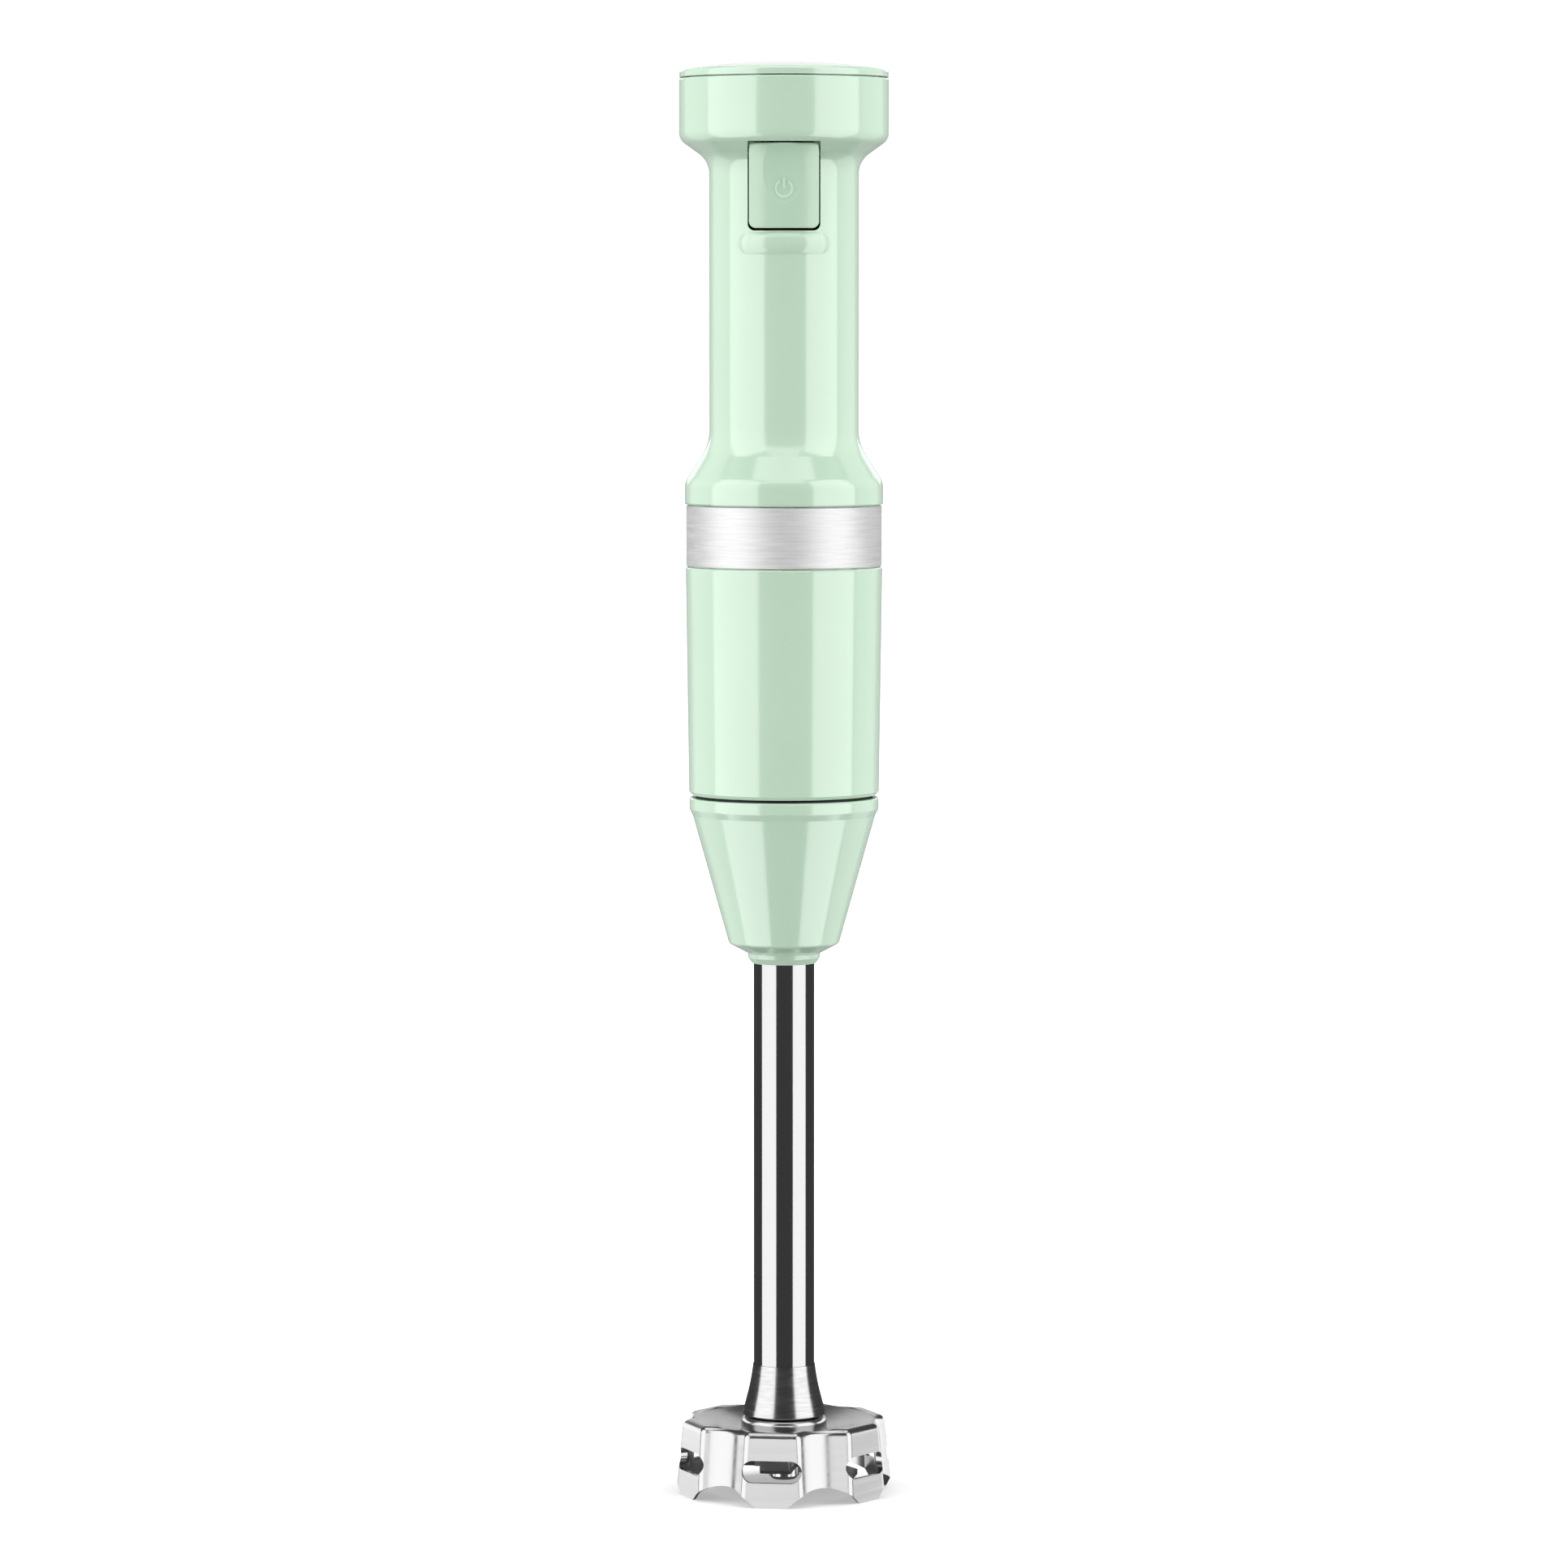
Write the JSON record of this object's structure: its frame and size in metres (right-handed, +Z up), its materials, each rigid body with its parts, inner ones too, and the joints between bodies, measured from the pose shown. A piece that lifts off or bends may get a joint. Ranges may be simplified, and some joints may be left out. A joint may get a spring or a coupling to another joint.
{
  "type": "immersion blender",
  "caption": "Corded stick blender: round handle with a paddle trigger under a flat head, steel trim band, twist-off steel arm with a lobed, windowed bell over the blade",
  "frame": {"origin": "middle of the footprint, on the surface the bell stands on", "axes": "+Z up along the drive axis, -Y towards the trigger, +Y towards the cord inlet, +X to the right seen from the trigger"},
  "size_m": [0.062, 0.0622, 0.414],
  "materials": {
    "green_shell": "satin-gloss pistachio green, moulded",
    "green_button": "satin pistachio green, a shade deeper",
    "symbol": "pale raised symbol",
    "trim_steel": "brushed round the band",
    "tube_steel": "polished with a faint lengthwise grain",
    "neck_steel": "turned and polished",
    "bell_steel": "polished stainless sheet",
    "blade_steel": "ground stainless",
    "dark_plastic": "black moulded",
    "grey_plastic": "dark grey glass-filled",
    "dark_rubber": "matt",
    "screw_steel": "zinc plated",
    "spring_steel": "drawn wire",
    "circuit_board": "solder-masked laminate",
    "capacitor_sleeve": "shrink sleeve",
    "film_capacitor": "moulded box",
    "lead_insulation": "insulated wire",
    "plain_aluminium": "extruded",
    "motor_steel": "plated and drawn",
    "ferrite": "sintered ferrite",
    "carbon": "pressed carbon",
    "coil_copper": "enamelled copper",
    "brush_brass": "pressed brass",
    "bush_bronze": "sintered bronze",
    "bearing_steel": "ground"
  },
  "bodies": {
    "motor_unit": {"top_cap": "green_shell", "front_shell": "green_shell", "rear_shell": "green_shell", "motor_sleeve": "green_shell", "trim_band": "trim_steel", "cord_gland": "dark_rubber", "cord_clamp": "grey_plastic", "terminal_block": "grey_plastic", "clamp_screws": "screw_steel", "shell_screws": "screw_steel", "trigger_pin": "screw_steel", "speed_sensor": "dark_plastic", "trigger_spring": "spring_steel", "control_board": "circuit_board", "bulk_capacitor": "capacitor_sleeve", "bridge_rectifier": "dark_plastic", "power_transistor": "dark_plastic", "heat_sink": "plain_aluminium", "filter_choke": "coil_copper", "filter_capacitor": "film_capacitor", "board_screws": "screw_steel", "motor_leads": "lead_insulation", "supply_leads": "lead_insulation", "motor_can": "motor_steel", "field_magnets": "ferrite", "motor_end_bell": "dark_plastic", "brush_holders": "brush_brass", "carbon_brushes": "carbon", "lower_bearing": "bearing_steel", "upper_bearing": "bearing_steel", "lower_motor_mount": "dark_rubber", "upper_motor_mount": "dark_rubber", "arm_socket": "grey_plastic"},
    "trigger_button": {"trigger": "green_button", "power_symbol": "symbol"},
    "switch_rod": {"switch_plunger": "grey_plastic"},
    "rotor": {"motor_shaft": "bearing_steel", "armature_core": "motor_steel", "armature_windings": "coil_copper", "commutator": "coil_copper", "cooling_fan": "dark_plastic", "motor_coupling": "dark_plastic"},
    "arm_carrier": {"upper_bush": "bush_bronze"},
    "blending_arm": {"arm_collar": "grey_plastic", "arm_housing": "green_shell", "rim_seal": "dark_rubber", "shaft_tube": "tube_steel", "bell_neck": "neck_steel", "bell": "bell_steel", "lower_bush": "bush_bronze", "lower_seal": "dark_rubber"},
    "blade_drive": {"drive_shaft": "bearing_steel", "driven_coupling": "dark_plastic", "thrust_washer": "bearing_steel", "blade_hub": "bearing_steel", "blade_nut": "bearing_steel", "blade": "blade_steel"}
  },
  "joints": [
    {"name": "trigger_press", "type": "hinge", "parent": "motor_unit", "child": "trigger_button", "pos_m": [0, -0.0185, 0.388], "axis": [1, 0, 0], "range_deg": [0, 6], "stiffness_Nm_per_rad": 0.3, "springref_deg": -5.73, "deforming": ["trigger_spring"]},
    {"name": "plunger_slide", "type": "slide", "parent": "motor_unit", "child": "switch_rod", "axis": [0, 1, 0], "range_m": [0, 0.00185]},
    {"name": "motor_spin", "type": "hinge", "parent": "motor_unit", "child": "rotor", "pos_m": [0, 0, 0.25], "axis": [0, 0, 1], "continuous": true},
    {"name": "arm_pull", "type": "slide", "parent": "motor_unit", "child": "arm_carrier", "axis": [0, 0, -1], "range_m": [0, 0.045]},
    {"name": "arm_twist", "type": "hinge", "parent": "arm_carrier", "child": "blending_arm", "pos_m": [0, 0, 0.2], "axis": [0, 0, 1], "range_deg": [0, 30]},
    {"name": "blade_spin", "type": "hinge", "parent": "arm_carrier", "child": "blade_drive", "pos_m": [0, 0, 0.1], "axis": [0, 0, 1], "continuous": true}
  ],
  "couplings": [
    {"joint": "plunger_slide", "follows": "trigger_press", "m_per_rad": 0.0175},
    {"joint": "blade_spin", "follows": "motor_spin", "ratio": 1}
  ]
}
